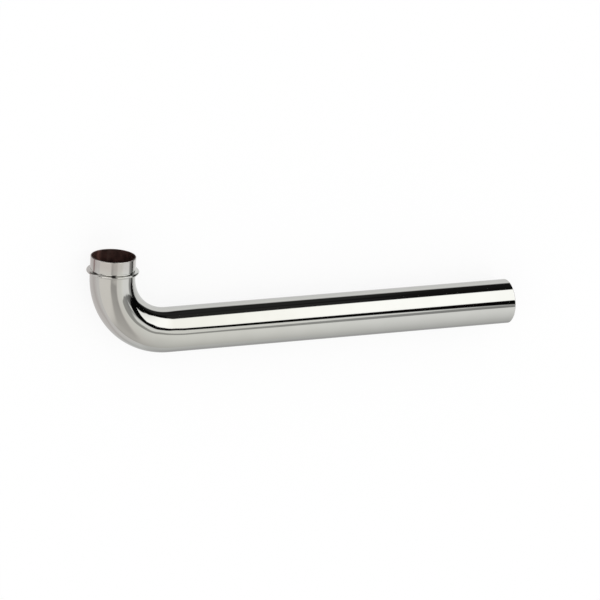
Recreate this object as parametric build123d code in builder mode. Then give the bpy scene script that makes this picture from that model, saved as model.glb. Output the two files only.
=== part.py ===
"""Waste pipe bend: one length of plated brass tube, bent once, with a collar folded up from its own wall.

The bend lies on its side, as it comes to rest on a bench: the long run along +X, the short inlet leg
towards +Y, and +Z up. It touches the bench along the run and at one point of the collar, which holds
the inlet leg a little off level. The origin is on the bench, in the middle of the bend's footprint.
"""

import os
from math import asin, atan2, cos, hypot, sin

from build123d import *

# Driving sizes, in millimetres
tube_diameter = 32.0  # outside, the 1 1/4 inch waste size
wall = 1.0
bend_radius = 43.0  # to the middle of the tube
run_length = 267.0  # straight, from the bend to the outlet's mouth
neck_length = 3.0  # straight, from the bend to the collar's underside
spigot_length = 9.8  # from the collar's seat to the inlet's mouth
collar_rise = 2.5  # how far the collar stands out from the tube
collar_root = 0.8  # radius of the hollow where the collar leaves the tube
crease_turn = 60  # degrees that the wall turns outwards before the fold is pressed shut
mouth_chamfer = 0.3  # edges broken after the tube is cut to length

# Sizes that follow from them
tube_radius = tube_diameter / 2
bore_radius = tube_radius - wall
collar_radius = tube_radius + collar_rise
collar_thickness = 2 * wall  # the wall goes out and comes back
collar_middle = neck_length + collar_thickness / 2
leg_length = neck_length + collar_thickness + spigot_length
crease_lip = collar_root + wall  # the inside of the wall, round the same corner as the collar's root
lip_middle = bore_radius + crease_lip

# Reach of each end from the point where the two axes cross
outlet_reach = bend_radius + run_length
collar_reach = bend_radius + collar_middle
inlet_reach = bend_radius + leg_length

# Roll about the run, in radians, at which the crest of the collar comes down to the bench
crest_reach = collar_radius - wall
roll = atan2(crest_reach, collar_reach) - asin((tube_radius - wall) / hypot(collar_reach, crest_reach))

# The plane of both axes, rolled and set over the middle of the footprint
far_edge = inlet_reach * cos(roll) + (tube_radius - mouth_chamfer) * sin(roll)
lying = Plane(
    origin=((collar_radius - outlet_reach) / 2, (tube_radius - far_edge) / 2, tube_radius),
    x_dir=(1, 0, 0),
    z_dir=(0, -sin(roll), cos(roll)),
)
run_start = Plane(lying.from_local_coords((bend_radius, 0, 0)), x_dir=lying.y_dir, z_dir=lying.x_dir)
leg_start = Plane(lying.from_local_coords((0, bend_radius, 0)), x_dir=lying.x_dir, z_dir=lying.z_dir)
bend_axis = Axis(lying.from_local_coords((bend_radius, bend_radius, 0)), lying.z_dir)
inlet_axis = Axis(leg_start.origin, lying.y_dir)

with BuildPart() as waste_pipe_bend:
    # Long run, out to the mouth that goes into the wall
    with BuildSketch(run_start) as tube_section:
        Circle(tube_radius)
        Circle(bore_radius, mode=Mode.SUBTRACT)
    extrude(amount=run_length)
    outlet_mouth = waste_pipe_bend.edges().group_by(Axis.X)[-1]
    chamfer(outlet_mouth, mouth_chamfer)

    # Bend, the same section carried round a quarter of a turn
    revolve(tube_section.sketch.faces(), axis=bend_axis, revolution_arc=-90)

    # Inlet leg, drawn as half of its section: x is the distance from its axis, y the way along it
    with BuildSketch(leg_start) as leg_section:
        with Locations((bore_radius, 0)):
            Rectangle(wall, leg_length, align=(Align.MIN, Align.MIN))
        # The fold that makes the collar, with a full round at its crest
        with Locations((tube_radius, collar_middle)):
            Rectangle(crest_reach - tube_radius, collar_thickness, align=(Align.MIN, Align.CENTER))
        with Locations((crest_reach, collar_middle)):
            Circle(collar_thickness / 2)
        outer_corners = leg_section.vertices().filter_by_position(Axis.X, tube_radius, tube_radius)
        fillet(outer_corners.sort_by(Axis.Y)[1:3], collar_root)
        chamfer(leg_section.vertices().group_by(Axis.Y)[-1], mouth_chamfer)
        # The crease that the fold leaves in the bore
        with BuildLine():
            lip_below = CenterArc((lip_middle, collar_middle - crease_lip), crease_lip, 180, -crease_turn)
            lip_above = CenterArc((lip_middle, collar_middle + crease_lip), crease_lip, 180, crease_turn)
            Line(lip_below @ 1, lip_above @ 1)
            Line(lip_below @ 0, lip_above @ 0)
        make_face(mode=Mode.SUBTRACT)
    revolve(axis=inlet_axis)

waste_pipe_bend.part.label = "waste_pipe_bend"

os.makedirs("parts", exist_ok=True)
export_step(waste_pipe_bend.part, "parts/waste_pipe_bend.step")
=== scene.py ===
from math import asin, atan2, hypot, pi, radians

import bmesh
import bpy
from mathutils import Matrix, Vector


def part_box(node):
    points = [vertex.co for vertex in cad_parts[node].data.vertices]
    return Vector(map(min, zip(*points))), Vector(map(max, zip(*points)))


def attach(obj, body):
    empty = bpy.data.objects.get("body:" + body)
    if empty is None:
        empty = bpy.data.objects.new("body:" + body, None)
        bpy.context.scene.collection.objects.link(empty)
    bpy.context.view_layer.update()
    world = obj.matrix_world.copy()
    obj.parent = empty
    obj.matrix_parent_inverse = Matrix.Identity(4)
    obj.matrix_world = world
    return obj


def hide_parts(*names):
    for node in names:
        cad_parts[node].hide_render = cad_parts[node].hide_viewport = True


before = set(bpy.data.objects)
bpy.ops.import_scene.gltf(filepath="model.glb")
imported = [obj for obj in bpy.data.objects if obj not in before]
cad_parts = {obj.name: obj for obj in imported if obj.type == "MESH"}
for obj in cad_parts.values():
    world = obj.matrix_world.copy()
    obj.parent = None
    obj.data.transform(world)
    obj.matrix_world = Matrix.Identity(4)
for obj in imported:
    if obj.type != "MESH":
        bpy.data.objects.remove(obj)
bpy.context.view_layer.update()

# Waste pipe bend: one length of thin brass tube, bent cold round a former close to its inlet end.
# The collar is folded up from the tube's own wall, which leaves a shallow crease in the bore.
# The whole outside is polished and chrome plated after forming, and the bore is left bare.
tube_radius = 0.016
wall = 0.001
bend_radius = 0.043
run_length = 0.267
neck_length = 0.003
spigot_length = 0.0098
collar_rise = 0.0025
collar_root = 0.0008
crease_turn = radians(60)
mouth_chamfer = 0.0003

bore_radius = tube_radius - wall
collar_radius = tube_radius + collar_rise
crest_reach = collar_radius - wall
collar_middle = bend_radius + neck_length + wall
inlet_reach = collar_middle + wall + spigot_length
outlet_reach = bend_radius + run_length
crease_lip = collar_root + wall
lip_middle = bore_radius + crease_lip

round_steps = 192  # facets round the tube
bend_steps = 72
root_steps = 8
crest_steps = 20
crease_steps = 6
holding = 0.0001  # extra ring this close to each end of a straight stretch, so that it shades straight
wave_step = 0.0035  # extra rings where the waves of the bend die away along the run


def straight(section, pen, x, y):
    """Draws a straight stretch of the section from the pen to x, y."""
    start = pen.co.copy()
    stretch = Vector((x, y, 0)) - start
    for along in (holding, stretch.length - holding, stretch.length):
        pen = bmesh.ops.extrude_vert_indiv(section, verts=[pen])["verts"][0]
        pen.co = start + stretch.normalized() * along
    return pen


def rounded(section, pen, centre, angle, steps):
    """Carries the pen round a centre, which draws an arc of the section."""
    arc = bmesh.ops.spin(
        section, geom=[pen], cent=(*centre, 0), axis=(0, 0, 1), angle=angle, steps=steps
    )
    return next(g for g in arc["geom_last"] if isinstance(g, bmesh.types.BMVert))


# The inlet leg's wall in section: up the outside, over the collar to the mouth, and down the bore
tube = bmesh.new()
pen = bmesh.ops.create_vert(tube, co=(tube_radius, bend_radius, 0))["vert"][0]
pen = straight(tube, pen, tube_radius, collar_middle - wall - collar_root)
pen = rounded(tube, pen, (tube_radius + collar_root, pen.co.y), -pi / 2, root_steps)
pen = straight(tube, pen, crest_reach, collar_middle - wall)
pen = rounded(tube, pen, (crest_reach, collar_middle), pi, crest_steps)
pen = straight(tube, pen, tube_radius + collar_root, collar_middle + wall)
pen = rounded(tube, pen, (pen.co.x, pen.co.y + collar_root), -pi / 2, root_steps)
pen = straight(tube, pen, tube_radius, inlet_reach - mouth_chamfer)
pen = straight(tube, pen, tube_radius - mouth_chamfer, inlet_reach)
pen = straight(tube, pen, bore_radius + mouth_chamfer, inlet_reach)
pen = straight(tube, pen, bore_radius, inlet_reach - mouth_chamfer)
pen = straight(tube, pen, bore_radius, collar_middle + crease_lip)
pen = rounded(tube, pen, (lip_middle, pen.co.y), crease_turn, crease_steps)
pen = straight(tube, pen, pen.co.x, 2 * collar_middle - pen.co.y)
pen = rounded(tube, pen, (lip_middle, collar_middle - crease_lip), crease_turn, crease_steps)
pen = straight(tube, pen, bore_radius, bend_radius)

# Turned all round the inlet's axis, then the open rings carried round the bend and out along the run
bmesh.ops.spin(
    tube, geom=tube.verts[:] + tube.edges[:], cent=(0, 0, 0), axis=(0, 1, 0),
    angle=2 * pi, steps=round_steps, use_merge=True,
)
rings = [edge for edge in tube.edges if edge.is_boundary]
bent = bmesh.ops.spin(
    tube, geom=rings, cent=(bend_radius, bend_radius, 0), axis=(0, 0, 1),
    angle=pi / 2, steps=bend_steps,
)
rings = [g for g in bent["geom_last"] if isinstance(g, bmesh.types.BMEdge)]
plain_run = run_length - 2 * wave_step - mouth_chamfer - 2 * holding
for stretch in (holding, wave_step, wave_step, plain_run, holding, mouth_chamfer):
    drawn = bmesh.ops.extrude_edge_only(tube, edges=rings)["geom"]
    rings = [g for g in drawn if isinstance(g, bmesh.types.BMEdge) and g.is_boundary]
    ends = [g for g in drawn if isinstance(g, bmesh.types.BMVert)]
    bmesh.ops.translate(tube, vec=(stretch, 0, 0), verts=ends)
for vert in ends:
    off_axis = Vector((0, vert.co.y, vert.co.z))
    on_outside = off_axis.length > (tube_radius + bore_radius) / 2
    vert.co += off_axis.normalized() * (-mouth_chamfer if on_outside else mouth_chamfer)
bmesh.ops.bridge_loops(tube, edges=rings)
bmesh.ops.recalc_face_normals(tube, faces=tube.faces)

# Where each point was before the tube was bent: inwards and upwards off its axis, and along it
unbent = tube.verts.layers.float_vector.new("unbent")
bend_length = bend_radius * pi / 2
for vert in tube.verts:
    x, y, z = vert.co
    if y >= bend_radius:
        vert[unbent] = (x, z, bend_radius - y)
    elif x >= bend_radius:
        vert[unbent] = (y, z, bend_length + x - bend_radius)
    else:
        turned = atan2(bend_radius - y, bend_radius - x)
        inwards = bend_radius - hypot(bend_radius - x, bend_radius - y)
        vert[unbent] = (inwards, z, bend_radius * turned)

# Plating outside, round to the outer edge of both mouths, and bare wall inside
plating_depth = 0.00001
inlet_mouth = bend_radius - inlet_reach
outlet_mouth = bend_length + run_length
for face in tube.faces:
    corners = [vert[unbent] for vert in face.verts]
    middle = sum(corners, Vector()) / len(corners)
    at_mouth = not inlet_mouth + mouth_chamfer < middle.z < outlet_mouth - mouth_chamfer
    plated_to = tube_radius - (mouth_chamfer if at_mouth else plating_depth)
    face.material_index = 0 if hypot(middle.x, middle.y) > plated_to else 1
    face.smooth = True

# It lies on its run and on the rim of the collar, which rolls it a little about the run
roll = atan2(crest_reach, collar_middle) - asin((tube_radius - wall) / hypot(collar_middle, crest_reach))
box_low, box_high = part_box("waste_pipe_bend")
crossing = Vector((box_high.x - outlet_reach, box_low.y + tube_radius, tube_radius))
tube.transform(Matrix.Translation(crossing) @ Matrix.Rotation(roll, 4, "X"))
pipe_mesh = bpy.data.meshes.new("waste_pipe")
tube.to_mesh(pipe_mesh)

# Cold bending leaves two shallow waves on top of the bend, too shallow to model, which turn the shading.
# A wave says how many degrees it moves a reflection along the tube, and a side how much of that is felt
# round the section, by degrees from its top.
first_wave = (
    (0.010, 0), (0.012, 2), (0.0145, 4.3), (0.018, 5), (0.034, 5), (0.041, 3), (0.048, 2.5), (0.054, 0),
)
first_side = ((-30, 0), (-12, 1), (0, 1), (7, 1.4), (10, 1.4), (14, 0))
second_wave = ((0.052, 0), (0.058, -4), (0.065, -4.5), (0.070, -2), (0.075, 0))
second_side = ((-30, 0), (-12, 1), (22, 1), (35, 0))
wave_depth = 0.0001  # the waves reach the outside only


def between_knots(place, knots):
    """The value at a place, straight from knot to knot, and 0 past the ends."""
    for (low, at_low), (high, at_high) in zip(knots, knots[1:]):
        if low <= place <= high:
            return at_low + (at_high - at_low) * (place - low) / (high - low)
    return 0


shading = []
tube.normal_update()
for vert in tube.verts:
    inwards, upwards, along = vert[unbent]
    moved = 0
    if hypot(inwards, upwards) > tube_radius - wave_depth:
        side = atan2(inwards, upwards) * 180 / pi
        moved = between_knots(along, first_wave) * between_knots(side, first_side)
        moved += between_knots(along, second_wave) * between_knots(side, second_side)
    # A reflection moves twice as far as the surface turns
    shading.append((vert.normal + Vector((0, radians(moved / 2), 0))).normalized())
tube.free()
pipe_mesh.normals_split_custom_set_from_vertices(shading)
pipe = bpy.data.objects.new("waste_pipe", pipe_mesh)
bpy.context.scene.collection.objects.link(pipe)


class Wire:
    """A socket of a node tree. Arithmetic on wires adds Math nodes, and node() adds any other node."""

    def __init__(self, tree, socket=None):
        self.tree = tree
        self.socket = socket

    def node(self, kind, settings=None, sockets=None, out=0):
        made = self.tree.nodes.new(kind)
        for name, value in (settings or {}).items():
            setattr(made, name, value)
        for name, value in (sockets or {}).items():
            if isinstance(value, Wire):
                self.tree.links.new(value.socket, made.inputs[name])
            else:
                made.inputs[name].default_value = value
        return Wire(self.tree, made.outputs[out] if made.outputs else None)

    def output(self, name):
        """Another output of the node that this wire comes from."""
        return Wire(self.tree, self.socket.node.outputs[name])

    def maths(self, operation, *others):
        values = dict(enumerate((self, *others)))
        return self.node("ShaderNodeMath", {"operation": operation}, values)

    def __add__(self, other):
        return self.maths("ADD", other)

    def __radd__(self, other):
        return self.maths("ADD", other)

    def __sub__(self, other):
        return self.maths("SUBTRACT", other)

    def __rsub__(self, other):
        return self.node("ShaderNodeMath", {"operation": "SUBTRACT"}, {0: other, 1: self})

    def __mul__(self, other):
        return self.maths("MULTIPLY", other)

    def __rmul__(self, other):
        return self.maths("MULTIPLY", other)

    def rise(self, low, high):
        """Goes smoothly from 0 at low to 1 at high."""
        ends = {"Value": self, "From Min": low, "From Max": high}
        return self.node("ShaderNodeMapRange", {"interpolation_type": "SMOOTHSTEP"}, ends)

    def between(self, low, high, soft):
        """Is 1 from low to high and 0 outside, with edges that are soft for that far on either hand."""
        return self.rise(low - soft, low + soft) * (1 - self.rise(high - soft, high + soft))

    def along(self, *knots):
        """Goes straight from knot to knot, each a place and the value there, and is level past the ends."""
        total = knots[0][1]
        for (low, at_low), (high, at_high) in zip(knots, knots[1:]):
            ends = {"Value": self, "From Min": low, "From Max": high, "To Min": 0, "To Max": at_high - at_low}
            total = self.node("ShaderNodeMapRange", None, ends) + total
        return total

    def mix(self, first, second):
        """Goes from the first colour to the second as this wire goes from 0 to 1."""
        # A Mix node has a set of sockets for each kind of value, so those for colours go by number
        return self.node("ShaderNodeMix", {"data_type": "RGBA"}, {0: self, 6: first, 7: second}, out=2)


def new_finish(name):
    material = bpy.data.materials.new(name)
    material.use_nodes = True
    material.node_tree.nodes.clear()
    return material, Wire(material.node_tree)


# Chrome plating: mirror polished, with faint lengthwise polishing lines and a slight ripple from drawing.
# The spigot above the collar is a little duller and browner than the rest.
# The cut edges of both mouths are filed, so they are paler and duller still.
chrome = (0.565, 0.567, 0.542, 1)
chrome_clouded = (0.552, 0.554, 0.527, 1)
chrome_browner = (0.53, 0.512, 0.49, 1)
chrome_filed = (0.62, 0.6, 0.58, 1)
polish_lines = (900, 900, 14)  # fine across the tube and long along it
drawing_ripple = (60, 60, 18)
ripple_depth = 0.000004

plating, wires = new_finish("polished_chrome_plating")
on_tube = wires.node("ShaderNodeAttribute", {"attribute_name": "unbent"}, out="Vector")
lines_place = wires.node("ShaderNodeMapping", None, {"Vector": on_tube, "Scale": polish_lines})
lines = wires.node("ShaderNodeTexNoise", None, {"Vector": lines_place, "Scale": 1.0, "Detail": 3.0})
cloud = wires.node("ShaderNodeTexNoise", None, {"Vector": on_tube, "Scale": 70.0, "Detail": 2.0})
ripple_place = wires.node("ShaderNodeMapping", None, {"Vector": on_tube, "Scale": drawing_ripple})
ripple = wires.node("ShaderNodeTexNoise", None, {"Vector": ripple_place, "Scale": 1.0, "Detail": 1.0})
along_tube = wires.node("ShaderNodeSeparateXYZ", None, {"Vector": on_tube}, out="Z")
spigot = 1 - along_tube.rise(inlet_mouth + 0.0035, inlet_mouth + 0.009)
lip_width = 2 * mouth_chamfer
lip = 1 - along_tube.between(inlet_mouth + lip_width, outlet_mouth - lip_width, mouth_chamfer)
gloss = 0.035 + 0.03 * lines.rise(0.45, 0.75) + 0.02 * cloud.rise(0.4, 0.7)
gloss = gloss + 0.045 * spigot + 0.22 * lip
tone = cloud.rise(0.3, 0.7).mix(chrome_clouded, chrome)
tone = spigot.mix(tone, chrome_browner)
tone = lip.mix(tone, chrome_filed)
rippled = wires.node("ShaderNodeBump", None, {"Height": ripple, "Strength": 1.0, "Distance": ripple_depth})
shell = wires.node(
    "ShaderNodeBsdfPrincipled", None,
    {"Base Color": tone, "Metallic": 1.0, "Roughness": gloss, "Normal": rippled},
)
wires.node("ShaderNodeOutputMaterial", None, {"Surface": shell})
pipe_mesh.materials.append(plating)

# Bare bore: brass gone dark brown and dull, stained in patches and streaked along the tube.
# One trail along it is painted lighter and redder, a painted highlight. Nothing is coated or fixed inside.
brown_dark = (0.042, 0.02, 0.017, 1)
brown_stained = (0.085, 0.039, 0.032, 1)
brown_streaked = (0.13, 0.085, 0.07, 1)
red_painted_highlight = (0.28, 0.135, 0.108, 1)
bore_streaks = (260, 260, 22)
grain_depth = 0.0001

bare, wires = new_finish("tarnished_bore_and_painted_highlight")
in_tube = wires.node("ShaderNodeAttribute", {"attribute_name": "unbent"}, out="Vector")
stain = wires.node("ShaderNodeTexNoise", None, {"Vector": in_tube, "Scale": 160.0, "Detail": 4.0})
specks = wires.node("ShaderNodeTexNoise", None, {"Vector": in_tube, "Scale": 900.0, "Detail": 2.0})
streaks_place = wires.node("ShaderNodeMapping", None, {"Vector": in_tube, "Scale": bore_streaks})
streaks = wires.node("ShaderNodeTexNoise", None, {"Vector": streaks_place, "Scale": 1.0, "Detail": 2.0})
split = wires.node("ShaderNodeSeparateXYZ", None, {"Vector": in_tube})
round_bore = split.output("Y").maths("ARCTAN2", split.output("X")) * (180 / pi)
# Painted highlight: a lighter, redder trail at one place round the bore
painted_highlight_trail = round_bore.between(-118, -106, 7) * (0.5 + 0.5 * stain.rise(0.35, 0.6))
brown = stain.rise(0.4, 0.7).mix(brown_dark, brown_stained)
brown = (0.5 * streaks.rise(0.5, 0.75)).mix(brown, brown_streaked)
brown = painted_highlight_trail.mix(brown, red_painted_highlight)
dullness = 0.3 + 0.2 * stain
grain = wires.node("ShaderNodeBump", None, {"Height": specks, "Strength": 0.3, "Distance": grain_depth})
skin = wires.node(
    "ShaderNodeBsdfPrincipled", None,
    {"Base Color": brown, "Metallic": 0.3, "Roughness": dullness, "Normal": grain},
)
wires.node("ShaderNodeOutputMaterial", None, {"Surface": skin})
pipe_mesh.materials.append(bare)

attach(pipe, "root")
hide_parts("waste_pipe_bend")


# Floor: a plain white sweep. Part of its white is its own glow, for the camera and for reflections,
# so that it comes out pure white where nothing shades it and still keeps a soft shadow.
def new_stage(name, shape):
    mesh = bpy.data.meshes.new(name)
    shape.to_mesh(mesh)
    shape.free()
    stage = bpy.data.objects.new(name, mesh)
    bpy.context.scene.collection.objects.link(stage)
    return stage


floor_shape = bmesh.new()
bmesh.ops.create_grid(floor_shape, x_segments=1, y_segments=1, size=12)
floor = new_stage("floor", floor_shape)

sweep, wires = new_finish("white_sweep")
to_camera = wires.node("ShaderNodeLightPath", out="Is Camera Ray")
to_metal = to_camera.output("Is Glossy Ray")
to_glass = to_camera.output("Is Transmission Ray")
seen = to_camera.maths("MAXIMUM", to_metal).maths("MAXIMUM", to_glass)
paint = wires.node("ShaderNodeBsdfDiffuse", None, {"Color": (0.14, 0.14, 0.14, 1)})
glow = wires.node("ShaderNodeEmission", None, {"Color": (0.86, 0.86, 0.86, 1), "Strength": seen})
white = wires.node("ShaderNodeAddShader", None, {0: paint, 1: glow})
wires.node("ShaderNodeOutputMaterial", None, {"Surface": white})
floor.data.materials.append(sweep)


# Boards on the floor, which only reflections see: a black one behind the run and one past its end, grey
# painted shade in front and on the left, darker in front, the run's painted shade, the dark foot of a post,
# a painted shadow just past the inlet's mouth and a brown card by the leg.
# Each says how much of the floor it covers, by its distance in metres from the leg's axis or the run's.
def only_reflected(stage):
    stage.visible_camera = False
    stage.visible_diffuse = False
    stage.visible_transmission = False
    stage.visible_volume_scatter = False
    stage.visible_shadow = False


board_thickness = 0.00005
black = (0, 0, 0, 1)
brown_shade_and_card = (0.2, 0.07, 0.07, 1)

boards_shape = bmesh.new()
bmesh.ops.create_grid(boards_shape, x_segments=1, y_segments=1, size=3)
bmesh.ops.translate(boards_shape, vec=(0, 0, board_thickness), verts=boards_shape.verts)
boards = new_stage("floor_boards_and_painted_shade", boards_shape)
only_reflected(boards)

boards_and_shade, wires = new_finish("black_boards_and_painted_shade")
place = wires.node("ShaderNodeTexCoord", None, None, out="Object")
split = wires.node("ShaderNodeSeparateXYZ", None, {"Vector": place})
right_of_leg = split.output("X") - crossing.x
left_of_leg = crossing.x - split.output("X")
behind_run = split.output("Y") - crossing.y
before_run = crossing.y - split.output("Y")

# Grey painted shade of the pipe on the floor, in front and on the left
outside_bend = left_of_leg.maths("MAXIMUM", before_run)
grey_painted_shade = outside_bend.along(
    (0, 0.26), (0.028, 0.28), (0.04, 0.38), (0.055, 0.3), (0.09, 0.2), (0.5, 0.17),
)
grey_painted_shade = grey_painted_shade * outside_bend.rise(-0.012, 0.004)
# Darker painted shade on the floor in front of the run
dark_painted_shade = before_run.along((0, 0.5), (0.05, 0.51), (0.08, 0.38), (0.15, 0.32), (0.6, 0.26))
dark_painted_shade = dark_painted_shade * before_run.rise(-0.012, 0.004) * right_of_leg.rise(-0.02, 0.06)
# Painted shade on the floor close behind the run
inner_shade = behind_run.along((0.012, 0.24), (0.038, 0)) * behind_run.rise(0, 0.004)

near_edge = right_of_leg.along((0.055, 0.053), (0.08, 0.047))
left_edge = behind_run.along((0.07, 0.06), (0.11, 0.042), (0.25, 0.01), (0.5, -0.01))
black_board = right_of_leg.along((0.06, 0.99), (0.09, 0.972), (0.22, 0.972), (0.29, 0.988))
black_board = black_board * (behind_run - near_edge).rise(-0.007, 0.007)
black_board = black_board * (right_of_leg - left_edge).rise(-0.006, 0.006)
end_board = 0.97 * right_of_leg.rise(0.36, 0.4) * behind_run.rise(-0.07, -0.05)

right_foot = 0.9 * right_of_leg.between(0.005, 0.0145, 0.002) * behind_run.rise(0.055, 0.06)
# A painted shadow on the floor just past the inlet's mouth, on the left
left_painted_shadow = 0.93 * left_of_leg.between(0.016, 0.07, 0.005) * behind_run.between(0.06, 0.1, 0.006)
brown_card = 0.75 * left_of_leg.between(0.034, 0.046, 0.003) * behind_run.between(0.036, 0.083, 0.004)

covered = grey_painted_shade
for laid_down in (dark_painted_shade, inner_shade, black_board, end_board, right_foot, left_painted_shadow, brown_card):
    covered = covered.maths("MAXIMUM", laid_down)
# Left of the leg the boards and the painted shade are brown; the painted shadow past the mouth stays black
board_colour = left_of_leg.rise(-0.02, 0.02).mix(black, brown_shade_and_card)
board_colour = left_painted_shadow.mix(board_colour, black)
bare_floor = wires.node("ShaderNodeBsdfTransparent")
board = wires.node("ShaderNodeEmission", None, {"Color": board_colour})
laid = wires.node("ShaderNodeMixShader", None, {0: covered, 1: bare_floor, 2: board})
wires.node("ShaderNodeOutputMaterial", None, {"Surface": laid})
boards_and_shade.cycles.emission_sampling = "NONE"
boards.data.materials.append(boards_and_shade)

# Studio: an even white room, with a light tent of white cloth round the pipe that only reflections see.
# Over the back it has a wide softbox framed in black, on its right a grey band, and on its left a grey post.
# Places on it are two angles from its middle: lean, from the top to the back, and reach, to the right.
studio = bpy.data.worlds.new("studio")
studio.use_nodes = True
studio.node_tree.nodes.clear()
bpy.context.scene.world = studio
wires = Wire(studio.node_tree)
backdrop = wires.node("ShaderNodeBackground", None, {"Color": (1, 1, 1, 1)})
wires.node("ShaderNodeOutputWorld", None, {"Surface": backdrop})

tent_radius = 1.0
tent_middle = Vector((-0.115, -0.021, 0.03))
tent_shape = bmesh.new()
bmesh.ops.create_icosphere(tent_shape, subdivisions=5, radius=tent_radius)
bmesh.ops.translate(tent_shape, vec=tent_middle, verts=tent_shape.verts)
tent = new_stage("light_tent", tent_shape)
only_reflected(tent)

cloth, wires = new_finish("tent_cloth")
place = wires.node("ShaderNodeTexCoord", None, None, out="Object")
outwards = wires.node("ShaderNodeVectorMath", {"operation": "SUBTRACT"}, {0: place, 1: tent_middle})
outwards = wires.node("ShaderNodeVectorMath", {"operation": "NORMALIZE"}, {0: outwards})
split = wires.node("ShaderNodeSeparateXYZ", None, {"Vector": outwards})
lean = split.output("Y").maths("ARCTAN2", split.output("Z")) * (180 / pi)
reach = split.output("X").maths("ARCSINE") * (180 / pi)

# The cloth itself, darker low down in front
front_wall = lean.along((-92, 0.72), (-70, 0.87), (-45, 1.0), (-30, 1.06))
front_wall = front_wall * reach.along((0, 0.84), (18, 0.89), (25, 0.96), (30, 1.0))
left_wall = 0.93
level = (front_wall - left_wall) * reach.rise(-40, -20) + left_wall

# The grey band, the shade between its end and the frame, and the dark end of the tent on the right
band_front = reach.along(
    (25, -18), (28, -19.2), (33, -19.3), (36, -18.6), (39, -18.2), (42, -19.7), (50, -19.8), (60, -21.5),
)
band_back = reach.along(
    (23, -10.5), (26, -9), (31, -7), (34, -5.6), (39, -5.4), (40, -7), (42, -13.5), (44.5, -13.5), (49, -9.5),
)
behind_band = (lean - band_back).rise(-1.5, 1.5)
band = (lean - band_front).rise(-0.8, 0.8) * (1 - behind_band) * reach.rise(15, 20)
band = band * reach.along((20, 0.55), (30, 0.6), (42, 0.7), (57, 0.83))
fading = behind_band * (1 - lean.rise(20, 21))
fading = fading * reach.along((36, 0), (39, 0.34), (41, 0.6), (42.5, 0.2), (44, 0.1))
dim_end = 0.64 * reach.rise(59.5, 68)
dark_end = 0.95 * reach.rise(73, 76)
level = level * (1 - band) * (1 - fading) * (1 - dim_end) * (1 - dark_end)

# The softbox in its black frame, as wide to the left as to the right
across = reach.maths("ABSOLUTE")
frame_front = across.along(
    (20, 7.5), (23, 5.8), (25, 3.6), (31, 2.5), (34, 1.9), (38, -0.6), (40, -2.2), (42, -6),
    (48, -12), (53, -13), (59, -15), (66, -18),
)
black_frame = (lean - frame_front).rise(-1.4, 1.4) * reach.rise(-76, -72)
frame_level = lean.rise(30, 60) * reach.along((31, 0.026), (35, 0.008), (48, 0)) + 0.003
level = level * (1 - black_frame) + black_frame * frame_level
box_front = across.along(
    (22, 17), (25, 14.9), (28, 15.5), (31, 16.1), (41, 17.6), (45, 11.5), (50, 12), (57, 11.5), (66, 9),
)
box_back = across.along((21, 67.5), (30, 73.4), (42, 77), (50, 77.5), (56, 75.5), (66, 56.5))
softbox = (lean - box_front).rise(-1.2, 1.2) * (box_back - lean).rise(-1.8, 1.8)
softbox = softbox * (1 - across.rise(64.5, 68.5))
box_level = across.along((22, 1.54), (33, 1.72), (42, 1.69), (62, 1.35))
level = level * (1 - softbox) + softbox * box_level

# The post, strongest towards the back
post_side = lean.along((-35, -27), (-26, -30), (-18, -30), (0, -27), (45, -20), (70, -17))
post = (reach - post_side).rise(-4, 4) * (1 - reach.rise(-5, 3))
post = post * lean.along(
    (-80, 0.03), (-60, 0.25), (-32, 0.4), (-24, 0.47), (-20.5, 0.46),
    (-18, 0.13), (-10, 0.15), (5, 0.5), (25, 0.95),
)
level = level * (1 - post)

warm_left = (1.04, 0.998, 0.962, 1)
warm_front = (1.012, 1.003, 0.968, 1)
white_right = (1.003, 1.003, 0.998, 1)
tint = reach.rise(-5, 18).mix(warm_left, warm_front)
tint = reach.rise(22, 36).mix(tint, white_right)
light = wires.node("ShaderNodeVectorMath", {"operation": "SCALE"}, {0: tint, "Scale": level})
shine = wires.node("ShaderNodeEmission", None, {"Color": light})
wires.node("ShaderNodeOutputMaterial", None, {"Surface": shine})
cloth.cycles.emission_sampling = "NONE"
tent.data.materials.append(cloth)

# Camera: a long lens that looks down on the bend from above its inlet.
# Its place, turn and focal length lay the pipe's outline on the photo's.
lens = bpy.data.cameras.new("camera")
lens.sensor_width = 36
lens.lens = 270.82
lens.clip_end = 50
camera = bpy.data.objects.new("camera", lens)
camera.location = (-1.28878, 0.8535, 2.83257)
camera.rotation_euler = (radians(-16.5154), radians(-23.9593), radians(2.3751))
bpy.context.scene.collection.objects.link(camera)
bpy.context.scene.camera = camera

bpy.context.scene.view_settings.view_transform = "Standard"
